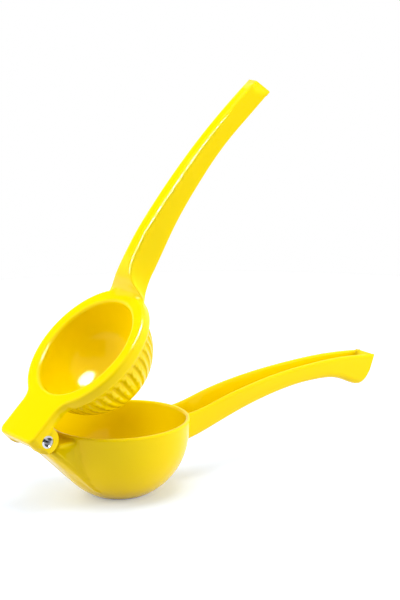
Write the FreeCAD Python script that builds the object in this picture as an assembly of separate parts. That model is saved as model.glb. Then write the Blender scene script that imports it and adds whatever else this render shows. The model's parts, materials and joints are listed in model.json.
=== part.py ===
import FreeCAD, Part
import math
import os

V = FreeCAD.Vector

# Two-handle citrus press. Lengths in millimetres, angles in degrees.
# It is drawn closed, with the origin at the centre of the bowl's rim plane: X runs from the hinge to
# the handles, Y along the hinge pin, Z up. At the end the press is swung open to its rest position
# and everything is lifted, so that the finished origin is the centre of the bowl's foot.

# Bowl
bowl_radius = 36.4
bowl_wall = 2.4
bowl_floor = 2.6
rim_rise = 5.9
rim_flare = 7.0
foot_radius = 15.0
foot_round = 1.0
floor_round = 4.0

# Drain holes through the bottom of the bowl, in rings of (radius, count)
drain_radius = 1.9
drain_rings = ((5.4, 6), (10.6, 12))

# Press flange and hollow plunger
flange_overhang = 1.2
flange_top = 9.1
flange_thickness = 7.0
flange_top_round = 1.4
flange_under_round = 2.4
squeeze_gap = 0.8
plunger_centre_z = 5.6
plunger_wall = 3.7
plunger_root_round = 1.2
plunger_flat_radius = 2.0
cup_edge_round = 2.0

# Ribs of the plunger, left standing between grooves that fade out towards its bottom
rib_count = 40
groove_radius = 1.3
groove_depth = 1.05
groove_start_z = -0.4
groove_fade = 52.0
groove_runout = 7.0

# Hinge
hinge_offset = 15.8
pin_z = 1.3
pin_radius = 2.6
pin_clearance = 0.05
pin_head_radius = 3.3
pin_head_height = 1.1
pin_bore_radius = 1.9
pin_bore_depth = 5.0
pin_mouth_radius = 2.8
pin_mouth_depth = 1.4
open_angle = 42.3
ear_radius = 7.0
ear_lift = 0.9
ear_half_span = 16.3
ear_thickness = 6.0
ear_side_clearance = 0.3
ear_pocket_clearance = 1.1
lug_radius = 4.8
lug_clearance = 0.4
plate_thickness = 5.1
plate_corner = 4.0
plate_neck = 9.0
bracket_setback = 2.1
bracket_sink = 1.4
bracket_under_pin = 2.6
bracket_drop = 2.2
bracket_top_round = 1.2
bracket_under_round = 2.5
bracket_end_radius = 16.0

# Handles: gutters of one section, closed along a spine and open along two rounded edges
lower_length = 126.1
upper_length = 127.4
handle_wall = 2.4
handle_web = 2.8
handle_end = 2.6
gutter_round = 1.0
keel_round = 3.2
crown_round = 1.4
lower_crowding = 1.0
upper_crowding = 1.5
hem_rim_clearance = 1.0

# Cross-sections along a handle, from its root inside the round body to its tip. Each gives the open
# edge and the spine, both as share of the run from the round body to the tip and height above the
# rim plane, and then the half widths at the open edge and at the spine.
lower_sections = (
    ((-0.05, -2.6), (-0.05, -17.4), 11.2, 10.2),
    ((0.00, -2.0), (0.00, -16.6), 10.8, 10.0),
    ((0.06, -1.0), (0.06, -15.0), 10.7, 9.6),
    ((0.17, 2.4), (0.17, -11.1), 10.6, 8.7),
    ((0.33, 6.4), (0.34, -5.2), 9.8, 8.0),
    ((0.54, 9.4), (0.55, -0.6), 8.1, 7.5),
    ((0.74, 10.3), (0.70, 0.1), 7.5, 7.3),
    ((0.85, 9.9), (0.81, -1.8), 7.3, 7.3),
    ((0.92, 9.2), (0.875, -5.6), 7.3, 7.3),
    ((0.96, 8.7), (0.92, -7.2), 7.3, 7.3),
    ((1.00, 8.2), (0.965, -2.6), 7.4, 7.4),
)
upper_sections = (
    ((-0.06, 1.0), (-0.034, 8.0), 13.0, 18.5),
    ((-0.02, 2.8), (-0.008, 10.4), 11.0, 15.5),
    ((0.01, 4.2), (0.008, 14.4), 9.9, 10.4),
    ((0.04, 5.6), (0.03, 17.8), 8.9, 7.0),
    ((0.09, 7.3), (0.07, 20.7), 8.1, 4.9),
    ((0.16, 9.5), (0.15, 23.8), 7.7, 4.2),
    ((0.30, 14.4), (0.29, 26.8), 7.6, 4.2),
    ((0.48, 18.6), (0.48, 29.1), 7.6, 4.2),
    ((0.69, 21.1), (0.69, 30.2), 7.7, 3.9),
    ((0.86, 20.6), (0.86, 29.7), 8.0, 3.7),
    ((1.00, 19.6), (1.00, 28.4), 8.3, 3.6),
)

# Values that follow from the sizes above
bowl_centre_z = -rim_rise
bowl_inner = bowl_radius - bowl_wall
flange_radius = bowl_radius + flange_overhang
plunger_radius = bowl_inner - squeeze_gap
pin_x = -(bowl_radius + hinge_offset)
foot_z = bowl_centre_z - math.sqrt(bowl_radius ** 2 - foot_radius ** 2)
floor_z = foot_z + bowl_floor
rim_height = -foot_z
flange_under = flange_top - flange_thickness
cup_radius = plunger_radius - plunger_wall
ear_inner = ear_half_span - ear_thickness
lug_half_width = ear_inner - ear_side_clearance
bracket_half_width = ear_half_span - bracket_setback
ear_pocket = ear_radius + ear_lift + ear_pocket_clearance
plate_reach = ear_radius - pin_x
FAR = 400.0
HANDLE_STATIONS = 16


def at(x, z, y=0.0):
    """A point of the XZ plane, or beside it at y."""
    return V(x, y, z)


def line(a, b):
    return Part.LineSegment(a, b).toShape()


def arc(a, middle, b):
    return Part.Arc(a, middle, b).toShape()


def arc_about(centre, a, b):
    """The shorter arc from a to b about a centre."""
    radius = (a - centre).Length
    return arc(a, centre + ((a - centre) + (b - centre)).normalize() * radius, b)


def face(edges):
    return Part.Face(Part.Wire(Part.__sortEdges__(edges)))


def revolved(edges):
    return face(edges).revolve(V(0, 0, 0), V(0, 0, 1), 360)


def across(edges, y_low, y_high):
    """Solid of an XZ outline between two places along the pin."""
    outline = face(edges)
    outline.translate(V(0, y_low, 0))
    return outline.extrude(V(0, y_high - y_low, 0))


def about_pin(radius, y_low, y_high):
    return Part.makeCylinder(radius, y_high - y_low, at(pin_x, pin_z, y_low), V(0, 1, 0))


def spread(edge, name):
    """Lowest and highest value of one coordinate along an edge."""
    values = [getattr(point, name) for point in edge.discretize(9)]
    return min(values), max(values)


def edges_where(shape, test):
    return [edge for edge in shape.Edges if not edge.Degenerated and test(edge)]


def level_edges(shape, z):
    """Edges that lie all along at one height."""
    return edges_where(shape, lambda edge: max(abs(end - z) for end in spread(edge, "z")) < 0.01)


def lip_frame():
    """Centre of the rim's rounded lip in the XZ plane, and the leaning wall's own up and out."""
    lean = math.radians(rim_flare)
    up = V(math.sin(lean), 0, math.cos(lean))
    out = V(math.cos(lean), 0, -math.sin(lean))
    start = at(0, bowl_centre_z) + out * (bowl_radius - bowl_wall / 2)
    rise = (-bowl_wall / 2 - start.z) / up.z
    return start + up * rise, up, out


def bowl_side(radius, z_low, side):
    """Edges of the bowl's profile from height z_low up its sphere, its leaning wall and half its lip.

    side is 1 for the outside and -1 for the inside.
    """
    lip, up, out = lip_frame()
    half = bowl_wall / 2
    centre = at(0, bowl_centre_z)
    low = at(math.sqrt(radius ** 2 - (z_low - bowl_centre_z) ** 2), z_low)
    high = centre + out * radius
    shoulder = lip + out * (side * half)
    top = lip + up * half
    return low, top, [arc_about(centre, low, high), line(high, shoulder), arc_about(lip, shoulder, top)]


def bowl_filled():
    """Outside of the bowl up to the top of its lip, still solid inside."""
    low, top, edges = bowl_side(bowl_radius, foot_z, 1)
    edges += [line(at(0, foot_z), low), line(top, at(0, top.z)), line(at(0, top.z), at(0, foot_z))]
    solid = revolved(edges)
    return solid.makeFillet(foot_round, level_edges(solid, foot_z))


def bowl_cavity():
    """Inside of the bowl, open at the top."""
    low, top, edges = bowl_side(bowl_inner, floor_z, -1)
    edges += [line(at(0, floor_z), low), line(top, at(top.x, FAR))]
    edges += [line(at(top.x, FAR), at(0, FAR)), line(at(0, FAR), at(0, floor_z))]
    solid = revolved(edges)
    return solid.makeFillet(floor_round, level_edges(solid, floor_z))


def drain_holes():
    """Straight holes through the bottom of the bowl."""
    places = []
    for radius, count in drain_rings:
        for step in range(count):
            turn = 2 * math.pi * (step + 0.5) / count
            places.append(V(radius * math.cos(turn), radius * math.sin(turn), 0))
    depth = bowl_radius - rim_rise
    holes = [Part.makeCylinder(drain_radius, depth, place + V(0, 0, foot_z - 1)) for place in places]
    return Part.makeCompound(holes)


def bracket():
    """Hinge bracket of the bowl: a wedge whose underside runs from under the pin into the bowl's side."""
    pin = at(pin_x, pin_z)
    bowl = at(0, bowl_centre_z)
    along = bowl - pin
    reach = bowl_radius - bracket_sink
    lean = (reach - bracket_under_pin) / along.Length
    along.normalize()
    below = V(along.z, 0, -along.x)
    normal = below * math.sqrt(1 - lean ** 2) - along * lean
    slope = V(-normal.z, 0, normal.x)
    top = -bracket_drop
    near = pin + normal * bracket_under_pin
    lug_start = near + slope * (lug_radius / 2)
    start = near + slope * (0.95 * math.sqrt(ear_pocket ** 2 - bracket_under_pin ** 2))
    far = bowl + normal * reach
    turn = far - normal * bracket_end_radius
    end = turn + slope * bracket_end_radius
    inside = at(end.x, top)

    def wedge(low, high, half_width):
        outline = [line(low, far), arc_about(turn, far, end), line(end, inside)]
        outline += [line(inside, high), line(high, low)]
        return across(outline, -half_width, half_width)

    def on_side(edge):
        low, high = spread(edge, "y")
        return abs(low) == abs(high) and spread(edge, "x")[0] < end.x - 0.01

    shoulders = wedge(start, at(start.x, top), bracket_half_width)
    upper = [edge for edge in level_edges(shoulders, top) if on_side(edge)]
    shoulders = shoulders.makeFillet(bracket_top_round, upper)
    under = edges_where(shoulders, lambda edge: on_side(edge) and spread(edge, "z")[0] < start.z - 0.01)
    shoulders = shoulders.makeFillet(bracket_under_round, under)
    pockets = [about_pin(ear_pocket, lug_half_width, FAR), about_pin(ear_pocket, -FAR, -lug_half_width)]
    barrel = about_pin(lug_radius, -lug_half_width, lug_half_width)
    web = wedge(lug_start, at(lug_start.x + 0.5, top), lug_half_width)
    return shoulders.cut(pockets).fuse([web, barrel])


def corner_arc(corner, along, radius):
    """Start, middle and end of a round between the level line into a corner and the line that leaves it.

    All are (out, up) pairs: the level line runs outwards and the leaving line runs along a unit vector.
    """
    reach = radius * math.tan(math.acos(along[0]) / 2)
    start = (corner[0] - reach, corner[1])
    end = (corner[0] + along[0] * reach, corner[1] + along[1] * reach)
    centre = (start[0], start[1] + radius)
    away = (corner[0] - centre[0], corner[1] - centre[1])
    share = radius / math.hypot(*away)
    return start, (centre[0] + away[0] * share, centre[1] + away[1] * share), end


def gutter_walls(edge, spine, edge_half, spine_half, corner):
    """Right and left wall of a gutter's cross-section as (start, middle of an arc or None, end).

    The right wall runs from the spine side to the gutter's floor and the left wall back again.
    """
    rise = edge - spine
    height = rise.Length
    rise.normalize()
    bead = handle_wall / 2
    slant = math.hypot(edge_half - spine_half, height)
    along = ((edge_half - spine_half) / slant, height / slant)
    run = (height - bead - bead * along[0]) / along[1]

    def beside(depth, way):
        """A point of the wall, in from its outside and on from the spine."""
        return spine_half - along[1] * depth + along[0] * way, along[0] * depth + along[1] * way

    rounded = corner_arc((spine_half, 0.0), along, corner)
    foot_way = (handle_web - along[0] * handle_wall) / along[1]
    floor = corner_arc(beside(handle_wall, foot_way), along, gutter_round)
    path = [
        rounded,
        (rounded[2], None, beside(0.0, run)),
        (beside(0.0, run), beside(bead, run + bead), beside(handle_wall, run)),
        (beside(handle_wall, run), None, floor[2]),
        (floor[2], floor[1], floor[0]),
    ]

    def wall(side):
        def place(point):
            return None if point is None else spine + rise * point[1] + V(0, side * point[0], 0)

        return [tuple(place(point) for point in step) for step in path]

    return wall(1), [(end, middle, start) for start, middle, end in reversed(wall(-1))]


def gutter_wire(edge, spine, edge_half, spine_half, corner):
    right, left = gutter_walls(edge, spine, edge_half, spine_half, corner)
    back = (left[-1][2], None, right[0][0])
    floor = (right[-1][2], None, left[0][0])
    path = [back] + right + [floor] + left
    return Part.Wire([line(a, b) if middle is None else arc(a, middle, b) for a, middle, b in path])


def end_wall(edge, spine, edge_half, spine_half):
    """Wall that closes a gutter at its last section, let into the web and the side walls."""
    rise = edge - spine
    height = rise.Length
    rise.normalize()
    inward = V(-abs(rise.z), 0, math.copysign(rise.x, rise.x * rise.z))
    low = handle_web / 2
    high = height - handle_wall / 8
    out_low = spine_half + (edge_half - spine_half) * low / height - handle_wall / 2
    out_high = edge_half - handle_wall / 2
    places = ((-out_low, low), (out_low, low), (out_high, high), (-out_high, high))
    corners = [spine + rise * up + V(0, side, 0) for side, up in places]
    outline = Part.Face(Part.makePolygon(corners + corners[:1]))
    return outline.extrude(inward * handle_end)


def stations(sections, start, run, crowding):
    """Places along smooth curves through a handle's sections: open edge, spine and the two half widths.

    A crowding above 1 brings them closer together at the root.
    """
    edges = []
    spines = []
    travel = [0.0]
    for (edge_share, edge_z), (spine_share, spine_z), edge_half, spine_half in sections:
        edges.append(V(start + edge_share * run, edge_half, edge_z))
        spines.append(V(start + spine_share * run, spine_half, spine_z))
        if len(edges) > 1:
            travel.append(travel[-1] + (edges[-1] + spines[-1] - edges[-2] - spines[-2]).Length / 2)
    edge_curve = Part.BSplineCurve()
    edge_curve.interpolate(Points=edges, Parameters=travel)
    spine_curve = Part.BSplineCurve()
    spine_curve.interpolate(Points=spines, Parameters=travel)
    places = []
    for step in range(HANDLE_STATIONS):
        along = travel[-1] * (step / (HANDLE_STATIONS - 1)) ** crowding
        edge = edge_curve.value(along)
        spine = spine_curve.value(along)
        places.append((at(edge.x, edge.z), at(spine.x, spine.z), edge.y, spine.y))
    return places


def handle(sections, start, run, corner, crowding):
    """Gutter-shaped handle through its sections, closed at the tip."""
    places = stations(sections, start, run, crowding)
    gutter = Part.makeLoft([gutter_wire(*place, corner) for place in places], True, False)
    return gutter.fuse(end_wall(*places[-1]))


def lower_cup():
    gutter = handle(lower_sections, bowl_radius, lower_length, keel_round, lower_crowding)
    body = bowl_filled().fuse([gutter, bracket()])
    return body.cut([bowl_cavity(), drain_holes(), about_pin(pin_radius + pin_clearance, -FAR, FAR)])


def press_body():
    """Flange and hollow plunger as one turned shape, its top edge still sharp."""
    centre = at(0, plunger_centre_z)
    root_z = flange_under - plunger_root_round
    root_reach = plunger_radius + plunger_root_round
    root = at(math.sqrt(root_reach ** 2 - (root_z - plunger_centre_z) ** 2), root_z)
    root_low = centre + (root - centre) * (plunger_radius / root_reach)
    root_high = at(root.x, flange_under)
    under = at(flange_radius - flange_under_round, flange_under)
    side = at(flange_radius, flange_under + flange_under_round)
    top = at(flange_radius, flange_top)
    lip = at(cup_radius + cup_edge_round, flange_top)
    wall = at(cup_radius, flange_top - cup_edge_round)
    equator = at(cup_radius, plunger_centre_z)
    inside_z = plunger_centre_z - math.sqrt(cup_radius ** 2 - plunger_flat_radius ** 2)
    inside = at(plunger_flat_radius, inside_z)
    outside_z = plunger_centre_z - math.sqrt(plunger_radius ** 2 - plunger_flat_radius ** 2)
    outside = at(plunger_flat_radius, outside_z)
    edges = [arc_about(centre, outside, root_low), arc_about(root, root_low, root_high)]
    edges += [line(root_high, under), arc_about(at(under.x, side.z), under, side), line(side, top)]
    edges += [line(top, lip), arc_about(at(lip.x, wall.z), lip, wall), line(wall, equator)]
    edges += [arc_about(centre, equator, inside), line(inside, at(0, inside.z))]
    edges += [line(at(0, inside.z), at(0, outside.z)), line(at(0, outside.z), outside)]
    return revolved(edges)


def hinge_plan():
    """Tall solid of the plan of the hinge plate: it leaves the flange through two neck arcs."""
    neck_y = ear_half_span + plate_neck
    neck = V(-math.sqrt((flange_radius + plate_neck) ** 2 - neck_y ** 2), neck_y, 0)
    root = neck * (flange_radius / (flange_radius + plate_neck))
    side_start = V(neck.x, ear_half_span, 0)
    side_end = V(plate_corner - plate_reach, ear_half_span, 0)
    corner = side_end - V(0, plate_corner, 0)
    end = V(-plate_reach, ear_half_span - plate_corner, 0)
    half = [arc_about(neck, root, side_start), line(side_start, side_end), arc_about(corner, side_end, end)]
    other = [edge.mirror(V(0, 0, 0), V(0, 1, 0)) for edge in half]
    ends = [line(point, V(point.x, -point.y, 0)) for point in (root, end)]
    outline = face(half + other + ends)
    outline.translate(V(0, 0, -FAR / 2))
    return outline.extrude(V(0, 0, FAR))


def slab(z_low, z_high):
    return Part.makeBox(2 * FAR, 2 * FAR, z_high - z_low, V(-FAR, -FAR, z_low))


def ears(plan):
    """The two hinge ears within the plate's plan, drawn up into the plate."""
    centre = at(pin_x, pin_z + ear_lift)
    left = centre - V(ear_radius, 0, 0)
    right = centre + V(ear_radius, 0, 0)
    high = flange_top - plate_thickness / 2
    outline = [arc(left, centre - V(0, 0, ear_radius), right), line(right, at(right.x, high))]
    outline += [line(at(right.x, high), at(left.x, high)), line(at(left.x, high), left)]
    pair = [across(outline, ear_inner, ear_half_span), across(outline, -ear_half_span, -ear_inner)]
    return [ear.common(plan) for ear in pair]


def grooves():
    """Cutters of the grooves down the plunger, each fading out before the bottom."""
    start = math.asin((plunger_centre_z - groove_start_z) / plunger_radius)
    fade = math.radians(groove_fade)
    drop = groove_depth / (math.sin(fade) - math.sin(start))
    ring = plunger_radius + groove_radius - groove_depth - drop * math.sin(start)
    middle = at(0, plunger_centre_z - drop)
    first = middle + V(math.cos(start), 0, -math.sin(start)) * ring
    along = V(math.sin(start), 0, math.cos(start))
    circle = Part.Face(Part.Wire(Part.makeCircle(groove_radius, first, along)))
    sweep = circle.revolve(middle, V(0, 1, 0), math.degrees(fade - start) + groove_runout)
    cutter = sweep.fuse(Part.makeSphere(groove_radius, first))
    cutters = []
    for step in range(rib_count):
        turned = cutter.copy()
        turned.rotate(V(0, 0, 0), V(0, 0, 1), 360 * (step + 0.5) / rib_count)
        cutters.append(turned)
    return cutters


def upper_press():
    plan = hinge_plan()
    body = press_body().fuse(plan.common(slab(flange_top - plate_thickness, flange_top))).removeSplitter()

    def at_outline(edge):
        return max(math.hypot(point.x, point.y) for point in edge.discretize(9)) > flange_radius - 0.1

    outline = [edge for edge in level_edges(body, flange_top) if at_outline(edge)]
    body = body.makeFillet(flange_top_round, outline)
    gutter = handle(upper_sections, flange_radius, upper_length, crown_round, upper_crowding)
    rim_room = Part.makeCylinder(flange_radius + hem_rim_clearance, FAR, at(0, flange_under - FAR))
    gutter = gutter.cut(rim_room)
    body = body.fuse(ears(plan) + [gutter])
    lug_room = about_pin(lug_radius + lug_clearance, -ear_inner, ear_inner)
    return body.cut([lug_room, about_pin(pin_radius, -FAR, FAR)]).cut(grooves())


def hinge_pin():
    """Semi-tubular rivet: a pin with a low rounded head on each ear and a flared bore in each end."""
    dome = (pin_head_radius ** 2 + pin_head_height ** 2) / (2 * pin_head_height)
    reach = ear_half_span + pin_head_height
    pin = about_pin(pin_radius, -ear_half_span, ear_half_span)
    for side in (-1, 1):
        ball = Part.makeSphere(dome, at(pin_x, pin_z, side * (reach - dome)))
        outer = about_pin(dome, *sorted((side * ear_half_span, side * (reach + 1))))
        pin = pin.fuse(ball.common(outer))
    for side in (-1, 1):
        inward = V(0, -side, 0)
        mouth_place = at(pin_x, pin_z, side * reach)
        bore = Part.makeCylinder(pin_bore_radius, pin_bore_depth, mouth_place, inward)
        mouth = Part.makeCone(pin_mouth_radius, pin_bore_radius, pin_mouth_depth, mouth_place, inward)
        pin = pin.cut([bore, mouth])
    return pin


def finished(shape):
    """The one solid of a finished piece, lifted onto its foot."""
    if len(shape.Solids) != 1:
        raise ValueError("a piece came out in %d solids" % len(shape.Solids))
    solid = shape.Solids[0]
    solid.translate(V(0, 0, rim_height))
    return solid


def swung_open(shape):
    shape.rotate(at(pin_x, pin_z), V(0, -1, 0), open_angle)
    return shape


os.makedirs("parts", exist_ok=True)
finished(lower_cup()).exportStep("parts/lower_cup.step")
finished(swung_open(upper_press())).exportStep("parts/upper_press.step")
finished(swung_open(hinge_pin())).exportStep("parts/hinge_pin.step")
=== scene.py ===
"""Looks of a yellow enamelled hand citrus press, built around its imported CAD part."""

import json
import logging
import math
from dataclasses import dataclass
from enum import Enum

import bmesh
import bpy
from mathutils import Matrix, Vector
from mathutils.bvhtree import BVHTree
from mathutils.kdtree import KDTree

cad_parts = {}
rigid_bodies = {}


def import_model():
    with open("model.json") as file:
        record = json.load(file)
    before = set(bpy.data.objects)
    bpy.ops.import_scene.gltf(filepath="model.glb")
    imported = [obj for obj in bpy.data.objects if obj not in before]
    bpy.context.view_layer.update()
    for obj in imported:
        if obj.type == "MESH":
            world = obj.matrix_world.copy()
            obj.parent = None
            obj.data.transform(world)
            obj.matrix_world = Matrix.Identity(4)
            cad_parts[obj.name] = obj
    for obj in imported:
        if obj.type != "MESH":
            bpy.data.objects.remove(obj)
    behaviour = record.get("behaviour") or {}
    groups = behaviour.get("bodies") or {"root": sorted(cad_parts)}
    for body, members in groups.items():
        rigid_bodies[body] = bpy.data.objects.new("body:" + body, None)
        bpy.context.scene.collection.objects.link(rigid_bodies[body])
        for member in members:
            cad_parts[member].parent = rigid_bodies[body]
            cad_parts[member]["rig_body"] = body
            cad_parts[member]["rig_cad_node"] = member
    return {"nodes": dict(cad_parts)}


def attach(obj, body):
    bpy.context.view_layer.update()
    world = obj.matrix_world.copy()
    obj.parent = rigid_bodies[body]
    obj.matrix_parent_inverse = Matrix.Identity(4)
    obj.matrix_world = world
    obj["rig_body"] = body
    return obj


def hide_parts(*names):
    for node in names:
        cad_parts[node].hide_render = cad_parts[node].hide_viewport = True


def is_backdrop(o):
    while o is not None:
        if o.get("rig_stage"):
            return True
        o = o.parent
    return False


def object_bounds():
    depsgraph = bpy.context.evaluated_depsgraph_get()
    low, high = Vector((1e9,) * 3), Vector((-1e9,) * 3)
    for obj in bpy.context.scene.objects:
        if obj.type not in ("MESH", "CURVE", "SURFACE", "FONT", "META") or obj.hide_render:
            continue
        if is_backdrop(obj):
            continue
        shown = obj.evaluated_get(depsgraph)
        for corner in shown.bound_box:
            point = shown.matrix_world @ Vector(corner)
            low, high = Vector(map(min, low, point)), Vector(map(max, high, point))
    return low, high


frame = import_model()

LOG = logging.getLogger("citrus_press")
MM = 0.001
Triple = tuple[float, float, float]


def pick(*pieces: bpy.types.Object) -> None:
    """Selects some objects alone, with the first one active."""
    bpy.ops.object.select_all(action="DESELECT")
    for piece in pieces:
        piece.select_set(True)
    bpy.context.view_layer.objects.active = pieces[0]


class Body(Enum):
    """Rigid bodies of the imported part."""

    LOWER = "lower"
    UPPER = "upper"


class Slot(Enum):
    """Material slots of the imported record."""

    ENAMEL = "enamel"
    STEEL = "steel"


class Signal:
    """One output socket of a node tree, with the arithmetic of a number."""

    def __init__(self, nodes: "Nodes", socket: bpy.types.NodeSocket) -> None:
        """Keeps the socket and its tree."""
        self.nodes = nodes
        self.socket = socket

    def __add__(self, other: "Signal | float") -> "Signal":
        """Returns the sum."""
        return self.nodes.math("ADD", self, other)

    def __radd__(self, other: float) -> "Signal":
        """Returns the sum."""
        return self.nodes.math("ADD", other, self)

    def __mul__(self, other: "Signal | float") -> "Signal":
        """Returns the product."""
        return self.nodes.math("MULTIPLY", self, other)

    def __rmul__(self, other: float) -> "Signal":
        """Returns the product."""
        return self.nodes.math("MULTIPLY", other, self)

    def __or__(self, other: "Signal") -> "Signal":
        """Returns the larger of two values, which is a logical or of masks."""
        return self.nodes.math("MAXIMUM", self, other)

    def between(self, first: Triple, second: Triple) -> "Signal":
        """Mixes two linear colours by this value.

        Args:
            first: colour at value 0.
            second: colour at value 1.

        Returns:
            The mixed colour.
        """
        factor, colour_a, colour_b, colour_out = 0, 6, 7, 2
        sockets = {factor: self, colour_a: (*first, 1.0), colour_b: (*second, 1.0)}
        return self.nodes.add("ShaderNodeMix", {"data_type": "RGBA"}, sockets, colour_out)


class Nodes:
    """A node tree that grows one node at a time."""

    def __init__(self, tree: bpy.types.NodeTree) -> None:
        """Keeps the tree."""
        self.tree = tree

    def wire(self, node: bpy.types.Node, sockets: dict) -> None:
        """Sets or links inputs of a node.

        Args:
            node: the node.
            sockets: a value or a signal for each input, by its name or place.
        """
        for key, value in sockets.items():
            if isinstance(value, Signal):
                self.tree.links.new(value.socket, node.inputs[key])
            else:
                node.inputs[key].default_value = value

    def add(self, kind: str, settings: dict, sockets: dict, output: str | int = 0) -> Signal:
        """Adds a node.

        Args:
            kind: type of the node.
            settings: its settings by name, which are set first.
            sockets: a value or a signal for each input, by its name or place.
            output: name or place of the output that is wanted.

        Returns:
            That output.
        """
        node = self.tree.nodes.new(kind)
        for name, value in settings.items():
            setattr(node, name, value)
        self.wire(node, sockets)
        return Signal(self, node.outputs[output])

    def math(self, operation: str, first: Signal | float, second: Signal | float) -> Signal:
        """Adds a Math node.

        Args:
            operation: what it does.
            first: its first value.
            second: its second value.

        Returns:
            The result.
        """
        return self.add("ShaderNodeMath", {"operation": operation}, {0: first, 1: second})

    def ray(self, kind: str) -> Signal:
        """Returns 1 where a kind of ray looks, such as Is Camera Ray, and 0 elsewhere."""
        return self.add("ShaderNodeLightPath", {}, {}, kind)

    def shown(self) -> Signal:
        """Returns 1 for what is seen, mirrored or looked at through glass, and 0 for what only lights."""
        return self.ray("Is Camera Ray") | self.ray("Is Glossy Ray") | self.ray("Is Transmission Ray")


class Surface(Nodes):
    """A new material with a Principled shader and patterns on Object coordinates."""

    def __init__(self, name: str) -> None:
        """Makes the material.

        Args:
            name: name of the material.
        """
        self.material = bpy.data.materials.new(name)
        self.material.use_nodes = True
        super().__init__(self.material.node_tree)
        self.place = self.add("ShaderNodeTexCoord", {}, {}, "Object")

    def noise(self, scale: float, detail: float = 2.0) -> Signal:
        """Smooth noise from 0 to 1.

        Args:
            scale: waves per metre.
            detail: octaves of finer noise.

        Returns:
            The noise value.
        """
        return self.add("ShaderNodeTexNoise", {}, {"Vector": self.place, "Scale": scale, "Detail": detail})

    def shade(self, **sockets: "Signal | float") -> None:
        """Sets or links inputs of the Principled shader by name, with _ for a space."""
        shader = self.tree.nodes["Principled BSDF"]
        self.wire(shader, {name.replace("_", " "): value for name, value in sockets.items()})


@dataclass(frozen=True)
class Enamel:
    """Glossy fired enamel over a casting.

    Attributes:
        thin: colour where the coat is thin.
        thick: colour where it has run a little thicker.
        run_waves: waves per metre of those runs.
        roughness: least roughness.
        dulling: roughness that fine scuffs add.
        scuff_waves: waves per metre of the scuffs.
        ripple: height of the coat's faint ripple in metres.
        ripple_share: share of that ripple that shows.
        ripple_waves: waves per metre of the ripple.
        edge_radius: round that the coat gives to every edge, in metres.
        edge_samples: rays that look for an edge.
        ior: refractive index of the coat.
        gloss: specular level of the coat.
        slot: slot of the record that the finish belongs to; not used.
    """

    thin: Triple = (0.905, 0.69, 0.0)
    thick: Triple = (0.890, 0.67, 0.0)
    run_waves: float = 28.0
    roughness: float = 0.11
    dulling: float = 0.04
    scuff_waves: float = 140.0
    ripple: float = 0.02 * MM
    ripple_share: float = 0.1
    ripple_waves: float = 420.0
    edge_radius: float = 1.2 * MM
    edge_samples: int = 8
    ior: float = 1.45
    gloss: float = 0.16
    slot: Slot = Slot.ENAMEL

    def material(self) -> bpy.types.Material:
        """Returns the enamel as a material."""
        coat = Surface("enamel")
        edges = {"samples": self.edge_samples}
        rounded = coat.add("ShaderNodeBevel", edges, {"Radius": self.edge_radius}, "Normal")
        ripple = {
            "Strength": self.ripple_share,
            "Distance": self.ripple,
            "Height": coat.noise(self.ripple_waves),
            "Normal": rounded,
        }
        coat.shade(
            Base_Color=coat.noise(self.run_waves).between(self.thin, self.thick),
            Roughness=self.roughness + self.dulling * coat.noise(self.scuff_waves),
            Normal=coat.add("ShaderNodeBump", {}, ripple, "Normal"),
            IOR=self.ior,
            Specular_IOR_Level=self.gloss,
        )
        return coat.material


@dataclass(frozen=True)
class PolishedSteel:
    """Polished steel of the rivet.

    Attributes:
        bright: colour where it is clean.
        dull: colour where it is worn.
        roughness: least roughness.
        scuffs: roughness that wear adds.
        wear_waves: waves per metre of the wear.
        wear_detail: octaves of finer wear.
        slot: slot of the record that the finish belongs to; not used.
    """

    bright: Triple = (0.74, 0.73, 0.72)
    dull: Triple = (0.60, 0.60, 0.61)
    roughness: float = 0.14
    scuffs: float = 0.12
    wear_waves: float = 900.0
    wear_detail: float = 4.0
    slot: Slot = Slot.STEEL

    def material(self) -> bpy.types.Material:
        """Returns the steel as a material."""
        steel = Surface("polished_steel")
        wear = steel.noise(self.wear_waves, self.wear_detail)
        steel.shade(
            Base_Color=wear.between(self.bright, self.dull),
            Roughness=self.roughness + self.scuffs * wear,
            Metallic=1.0,
        )
        return steel.material


@dataclass(frozen=True)
class Blend:
    """A box in which the casting's inside corners are filled to a soft round.

    Attributes:
        middle: middle of the box in metres.
        size: its size in metres.
        tilt: its turn about the hinge's direction in degrees.
        reach: distance from a corner that the round covers, in metres.
        rounds: smoothing rounds, more for a larger round.
    """

    middle: Triple
    size: Triple
    tilt: float
    reach: float
    rounds: int

    def into(self) -> Matrix:
        """Returns the matrix that turns the box into a unit cube."""
        turn = Matrix.Rotation(math.radians(self.tilt), 4, "Y")
        place = Matrix.Translation(self.middle) @ turn @ Matrix.Diagonal((*self.size, 1.0))
        return place.inverted()


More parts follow.
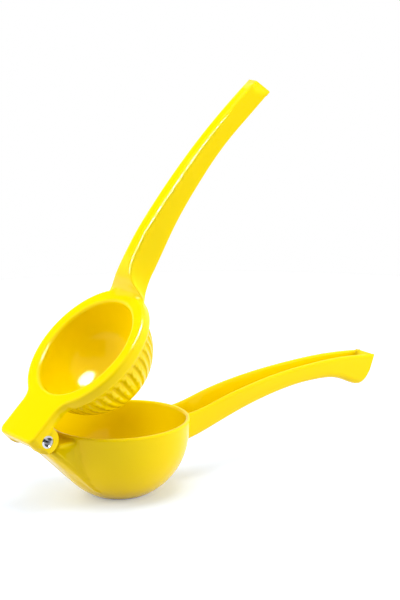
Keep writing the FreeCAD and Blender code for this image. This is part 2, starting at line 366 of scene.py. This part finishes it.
@dataclass
class Casting:
    """One casting: a merged copy of its CAD node with soft inside corners.

    Attributes:
        node: CAD node that the casting stands for.
        body: rigid body that it moves with.
        blends: boxes with soft inside corners.
        finish: its surface.
        weld: distance in metres within which corners of loose triangles are merged.
        edge_angle: angle between faces that stays an edge.
        shadow_offset: how far flat faces are lifted for soft shadows, as a share of their size.
        crease_angle: angle between faces that counts as an inside corner.
        grain: size of the faces of a filling in metres.
        sink: how far a filling lies under the casting's skin, as a share of its grain.
        root_reach: how near a corner a vertex counts as lying in it, in metres.
    """

    node: str
    body: Body
    blends: tuple[Blend, ...]
    finish: Enamel = Enamel()
    weld: float = 0.01 * MM
    edge_angle: float = math.radians(52.0)
    shadow_offset: float = 0.1
    crease_angle: float = math.radians(12.0)
    grain: float = 0.4 * MM
    sink: float = 0.2
    root_reach: float = 2.0 * MM

    def build(self) -> bpy.types.Object:
        """Returns the finished piece, riding on its body in place of its CAD node."""
        piece = self._copy()
        fillings = [self._filling(piece, blend) for blend in self.blends]
        pick(piece, *fillings)
        bpy.ops.object.join()
        piece.vertex_groups.clear()
        bpy.ops.object.shade_smooth_by_angle(angle=self.edge_angle)
        piece.data.materials.clear()
        piece.data.materials.append(self.finish.material())
        piece.shadow_terminator_geometry_offset = self.shadow_offset
        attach(piece, self.body.value)
        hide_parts(self.node)
        return piece

    def _copy(self) -> bpy.types.Object:
        """Returns a copy of the CAD node with its loose triangles merged."""
        pick(frame["nodes"][self.node])
        bpy.ops.object.duplicate()
        piece = bpy.context.view_layer.objects.active
        piece.name = self.node + "_enamelled"
        piece.parent = None
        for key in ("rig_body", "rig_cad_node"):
            del piece[key]
        bpy.ops.object.mode_set(mode="EDIT")
        bpy.ops.mesh.select_all(action="SELECT")
        bpy.ops.mesh.remove_doubles(threshold=self.weld)
        bpy.ops.object.mode_set(mode="OBJECT")
        return piece

    def _apply(self, piece: bpy.types.Object, kind: str, **settings: object) -> None:
        """Adds a modifier and applies it.

        Args:
            piece: object that changes.
            kind: type of the modifier.
            settings: its settings by name.
        """
        pick(piece)
        modifier = piece.modifiers.new(kind.lower(), kind)
        for name, value in settings.items():
            setattr(modifier, name, value)
        bpy.ops.object.modifier_apply(modifier=modifier.name)

    def _keep(self, piece: bpy.types.Object, wanted: list[bool]) -> None:
        """Deletes the faces that have no wanted corner.

        Args:
            piece: object that changes.
            wanted: whether each vertex is wanted.
        """
        pick(piece)
        bpy.ops.object.mode_set(mode="EDIT")
        bpy.ops.mesh.select_mode(type="FACE")
        bpy.ops.mesh.select_all(action="DESELECT")
        bpy.ops.object.mode_set(mode="OBJECT")
        for face in piece.data.polygons:
            face.select = not any(wanted[place] for place in face.vertices)
        bpy.ops.object.mode_set(mode="EDIT")
        bpy.ops.mesh.delete(type="FACE")
        bpy.ops.object.mode_set(mode="OBJECT")

    def _keep_linked(self, piece: bpy.types.Object, roots: list[bool]) -> None:
        """Deletes the islands that hold no root.

        Args:
            piece: object that changes.
            roots: whether each vertex is a root.
        """
        pick(piece)
        bpy.ops.object.mode_set(mode="EDIT")
        bpy.ops.mesh.select_mode(type="VERT")
        bpy.ops.mesh.select_all(action="DESELECT")
        bpy.ops.object.mode_set(mode="OBJECT")
        for vertex, root in zip(piece.data.vertices, roots):
            vertex.select = root
        bpy.ops.object.mode_set(mode="EDIT")
        bpy.ops.mesh.select_linked()
        bpy.ops.mesh.select_all(action="INVERT")
        bpy.ops.mesh.delete(type="VERT")
        bpy.ops.object.mode_set(mode="OBJECT")

    def _filling(self, piece: bpy.types.Object, blend: Blend) -> bpy.types.Object:
        """Makes the skin that fills the inside corners of a box, with its border under the casting's skin.

        Args:
            piece: the casting.
            blend: where the corners are and how soft they become.

        Returns:
            The filling.
        """
        corners = self._inside_corners(piece, blend)
        pick(piece)
        bpy.ops.object.duplicate()
        putty = bpy.context.view_layer.objects.active
        putty.data.remesh_voxel_size = self.grain
        putty.data.remesh_voxel_adaptivity = 0.0
        bpy.ops.object.voxel_remesh()
        into, half = blend.into(), 0.5
        inside = [max(abs(part) for part in into @ vertex.co) < half for vertex in putty.data.vertices]
        self._keep(putty, inside)
        soft = putty.vertex_groups.new(name="soft")
        root = putty.vertex_groups.new(name="root")
        for vertex in putty.data.vertices:
            distance = corners.find(vertex.co)[2]
            if distance < blend.reach:
                share = 1.0 - distance / blend.reach
                soft.add([vertex.index], share * share * (3.0 - 2.0 * share), "REPLACE")
            if distance < self.root_reach:
                root.add([vertex.index], 1.0, "REPLACE")
        self._apply(putty, "SMOOTH", factor=0.5, iterations=blend.rounds, vertex_group="soft")
        self._apply(putty, "DISPLACE", mid_level=0.0, strength=-self.sink * self.grain)
        skin = BVHTree.FromObject(piece, bpy.context.evaluated_depsgraph_get())
        proud = []
        for vertex in putty.data.vertices:
            foot, normal, _, _ = skin.find_nearest(vertex.co)
            proud.append((vertex.co - foot).dot(normal) > 0.0)
        self._keep(putty, proud)
        number = putty.vertex_groups["root"].index
        members = [[link.group for link in vertex.groups] for vertex in putty.data.vertices]
        self._keep_linked(putty, [number in groups for groups in members])
        return putty

    def _inside_corners(self, piece: bpy.types.Object, blend: Blend) -> KDTree:
        """Finds points along the sharp inside corners of a box.

        Args:
            piece: the casting.
            blend: the box.

        Returns:
            The points, ready for a search by distance.
        """
        into, inside = blend.into(), 0.45
        mesh = bmesh.new()
        mesh.from_mesh(piece.data)
        points = []
        for edge in mesh.edges:
            if edge.is_manifold and edge.calc_face_angle_signed(0.0) < -self.crease_angle:
                a, b = (vertex.co for vertex in edge.verts)
                if max(abs(part) for part in into @ ((a + b) / 2)) < inside:
                    steps = max(1, int((b - a).length / self.grain))
                    points += [a.lerp(b, step / steps) for step in range(steps + 1)]
        mesh.free()
        tree = KDTree(len(points))
        for place, point in enumerate(points):
            tree.insert(point, place)
        tree.balance()
        return tree


@dataclass
class LowerCup(Casting):
    """Bowl, channel handle and hinge bracket in one casting, soft where the bracket meets the bowl."""

    node: str = "lower_cup"
    body: Body = Body.LOWER
    blends: tuple[Blend, ...] = (
        Blend((-0.0310, 0.0, 0.0210), (0.026, 0.044, 0.034), 0.0, 6.0 * MM, 150),
    )


@dataclass
class UpperPress(Casting):
    """Flange, ribbed plunger, handle and hinge plate in one casting, soft at the handle's root."""

    node: str = "upper_press"
    body: Body = Body.UPPER
    blends: tuple[Blend, ...] = (
        Blend((0.0013, 0.0, 0.1117), (0.044, 0.060, 0.024), -42.3, 13.0 * MM, 600),
    )


@dataclass
class Rivet:
    """The hinge pin, shown as its CAD node.

    Attributes:
        node: the CAD node.
        finish: its surface.
        edge_angle: angle between faces that stays an edge.
    """

    node: str = "hinge_pin"
    finish: PolishedSteel = PolishedSteel()
    edge_angle: float = math.radians(35.0)

    def build(self) -> bpy.types.Object:
        """Returns the CAD node with its finish."""
        pin = frame["nodes"][self.node]
        pin.data.materials.clear()
        pin.data.materials.append(self.finish.material())
        pick(pin)
        bpy.ops.object.shade_smooth_by_angle(angle=self.edge_angle)
        return pin


@dataclass(frozen=True)
class SoftBox:
    """A round studio light that faces the object and doesn't show in reflections.

    Attributes:
        name: name of the light.
        towards: direction in which it stands, seen from the object.
        distance: how far away it stands, in metres.
        size: its diameter in metres.
        glow: light that a white surface facing it sends back, 1 for plain white.
        aim: point that it faces, in metres.
    """

    name: str
    towards: Triple
    distance: float
    size: float
    glow: float
    aim: Triple = (0.0, 0.0, 0.08)

    def build(self) -> bpy.types.Object:
        """Returns the light."""
        towards = Vector(self.towards).normalized()
        bpy.ops.object.light_add(type="AREA", location=Vector(self.aim) + towards * self.distance)
        lamp = bpy.context.object
        lamp.name = self.name
        lamp.data.shape = "DISK"
        lamp.data.size = self.size
        lamp.data.energy = self.glow * (math.pi * self.distance) ** 2
        lamp.rotation_euler = (-towards).to_track_quat("-Z", "Y").to_euler()
        lamp.visible_glossy = False
        return lamp


@dataclass(frozen=True)
class Panel:
    """A bright oval panel that shows only in reflections.

    Attributes:
        name: name of the panel.
        middle: its middle in metres.
        along: direction of its width.
        facing: direction that it faces.
        size: width and height in metres.
        strength: brightness, 1 for plain white.
        warm: colour of its cloth.
        cool: colour of the cloth's paler runs.
    """

    name: str
    middle: Triple
    along: Triple
    facing: Triple
    size: tuple[float, float]
    strength: float
    warm: Triple = (1.0, 1.0, 1.0)
    cool: Triple = (0.97, 0.98, 1.0)

    def build(self) -> bpy.types.Object:
        """Returns the panel."""
        facing = Vector(self.facing).normalized()
        across = facing.cross(Vector(self.along)).normalized()
        along = across.cross(facing)
        bpy.ops.mesh.primitive_circle_add(vertices=64, radius=0.5, fill_type="NGON")
        panel = bpy.context.object
        panel.name = self.name
        turn = Matrix((along * self.size[0], across * self.size[1], facing)).transposed().to_4x4()
        turn.translation = Vector(self.middle)
        panel.data.transform(turn)
        cloth = Surface(self.name)
        cloth.shade(
            Emission_Color=cloth.noise(4.0).between(self.warm, self.cool),
            Emission_Strength=self.strength,
        )
        cloth.material.cycles.emission_sampling = "NONE"
        panel.data.materials.append(cloth.material)
        panel.visible_camera = False
        panel.visible_diffuse = False
        panel.visible_shadow = False
        panel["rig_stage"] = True
        return panel


@dataclass(frozen=True)
class Flag:
    """A black card that keeps light off one side and doesn't show itself.

    Attributes:
        name: name of the card.
        middle: its middle in metres.
        size: width and height in metres.
        only_mirrored: whether it shows in reflections alone and keeps off no light.
        dark: colour of its cloth.
        faded: colour of the cloth's paler threads.
    """

    name: str
    middle: Triple
    size: tuple[float, float]
    only_mirrored: bool = False
    dark: Triple = (0.01, 0.01, 0.01)
    faded: Triple = (0.02, 0.02, 0.02)

    def build(self) -> bpy.types.Object:
        """Returns the card, upright and facing the object."""
        middle = Vector(self.middle)
        back = Vector((middle.x, middle.y, 0.0)).normalized()
        across = Vector((-back.y, back.x, 0.0))
        upright = Vector((0.0, 0.0, self.size[1]))
        bpy.ops.mesh.primitive_plane_add(size=1.0)
        card = bpy.context.object
        card.name = self.name
        turn = Matrix((across * self.size[0], upright, back)).transposed().to_4x4()
        turn.translation = middle
        card.data.transform(turn)
        cloth = Surface(self.name)
        cloth.shade(
            Base_Color=cloth.noise(200.0).between(self.dark, self.faded),
            Roughness=1.0,
            Specular_IOR_Level=0.0,
        )
        card.data.materials.append(cloth.material)
        card.visible_camera = False
        card.visible_shadow = False
        card.visible_diffuse = not self.only_mirrored
        card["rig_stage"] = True
        return card


@dataclass
class Studio:
    """White floor, white surroundings and soft lights.

    Attributes:
        floor_tone: colour of the floor as it is seen or mirrored.
        floor_bounce: colour of the floor as a light from below.
        floor_lift: light that the floor adds where it is seen or mirrored, to keep it plain white.
        floor_radius: size of the floor in metres.
        floor_roughness: roughness of its paper.
        floor_gloss: specular level of its paper.
        ambient: strength of the surroundings as a light, where 1 is white.
        boxes: lights.
        panels: highlights.
        flags: black cards.
    """

    floor_tone: Triple = (0.66, 0.73, 0.88)
    floor_bounce: Triple = (0.74, 0.69, 0.60)
    floor_lift: float = 0.25
    floor_radius: float = 0.50
    floor_roughness: float = 0.7
    floor_gloss: float = 0.1
    ambient: float = 0.69
    boxes: tuple[SoftBox, ...] = (
        SoftBox("overhead", (0.05, -0.19, 0.98), 1.2, 0.6, 0.40),
        SoftBox("left_back", (-0.55, 0.55, 0.63), 1.5, 0.8, 0.34),
        SoftBox("left", (-0.85, 0.45, 0.28), 1.5, 0.8, 0.32),
        SoftBox("right_front", (0.75, -0.62, 0.25), 1.5, 0.8, 0.55),
    )
    panels: tuple[Panel, ...] = (
        Panel("top_panel", (0.06, -0.228, 1.256), (1.0, 0.0, 0.0), (-0.05, 0.19, -0.98), (0.24, 0.12), 50.0),
        Panel(
            "side_panel", (0.003, -0.018, 0.21), (0.51, 0.0, 0.86), (0.79, 0.31, -0.54), (0.15, 0.05), 110.0
        ),
    )
    flags: tuple[Flag, ...] = (
        Flag("left_flag", (-0.30, -0.36, 0.17), (0.50, 0.32)),
        Flag("back_flag", (-0.20, 0.82, 0.66), (0.70, 0.44), True),
    )

    def build(self) -> None:
        """Makes the floor, the lights and the surroundings."""
        bpy.ops.mesh.primitive_circle_add(vertices=128, radius=self.floor_radius, fill_type="NGON")
        floor = bpy.context.object
        floor.name = "floor"
        paper = Surface("floor")
        shown = paper.shown()
        paper.shade(
            Base_Color=shown.between(self.floor_bounce, self.floor_tone),
            Emission_Color=shown.between((0.0, 0.0, 0.0), (self.floor_lift,) * 3),
            Emission_Strength=1.0,
            Roughness=self.floor_roughness,
            Specular_IOR_Level=self.floor_gloss,
        )
        floor.data.materials.append(paper.material)
        floor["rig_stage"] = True
        for part in (*self.boxes, *self.panels, *self.flags):
            part.build()
        self._surroundings()

    def _surroundings(self) -> None:
        """Makes the world: plain white where it is seen or mirrored, and softer as a light."""
        world = bpy.data.worlds.new("studio")
        bpy.context.scene.world = world
        world.use_nodes = True
        nodes = Nodes(world.node_tree)
        background = {
            "Color": (1.0, 1.0, 1.0, 1.0),
            "Strength": self.ambient + nodes.shown() * (1.0 - self.ambient),
        }
        nodes.wire(world.node_tree.nodes["Background"], background)


@dataclass
class PhotoCamera:
    """The camera of the photo.

    Attributes:
        place: where it stands, in metres.
        azimuth: direction that it looks in, in degrees from +Y towards +X.
        elevation: angle that it looks down by, in degrees.
        roll: turn about its own axis, in degrees.
        lens: focal length in millimetres.
        sensor: width of the sensor in millimetres.
    """

    place: Triple = (-0.653196, -1.063665, 0.405111)
    azimuth: float = 33.58
    elevation: float = 13.69
    roll: float = -1.73
    lens: float = 150.0
    sensor: float = 36.0

    def build(self) -> bpy.types.Object:
        """Returns the scene's camera."""
        azimuth, elevation, roll = (math.radians(a) for a in (self.azimuth, self.elevation, self.roll))
        back = Vector((
            -math.sin(azimuth) * math.cos(elevation),
            -math.cos(azimuth) * math.cos(elevation),
            math.sin(elevation),
        ))
        right = Vector((math.cos(azimuth), -math.sin(azimuth), 0.0))
        up = back.cross(right)
        turned = right * math.cos(roll) + up * math.sin(roll)
        upright = up * math.cos(roll) - right * math.sin(roll)
        bpy.ops.object.camera_add()
        camera = bpy.context.object
        matrix = Matrix((turned, upright, back)).transposed().to_4x4()
        matrix.translation = Vector(self.place)
        camera.matrix_world = matrix
        camera.data.lens = self.lens
        camera.data.sensor_width = self.sensor
        bpy.context.scene.camera = camera
        return camera


def corners() -> list[list[float]]:
    """Returns the lowest and highest corner of the shown object, in metres."""
    return [list(corner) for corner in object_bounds()]


def main() -> None:
    """Builds the press, the studio and the camera."""
    logging.basicConfig(level=logging.INFO)
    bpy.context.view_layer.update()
    for part in (LowerCup(), UpperPress(), Rivet()):
        piece = part.build()
        LOG.info("%s has %d faces", piece.name, len(piece.data.polygons))
    Studio().build()
    PhotoCamera().build()
    bpy.context.scene.view_settings.view_transform = "Standard"
    bpy.context.view_layer.update()


if __name__ == "__main__":
    main()
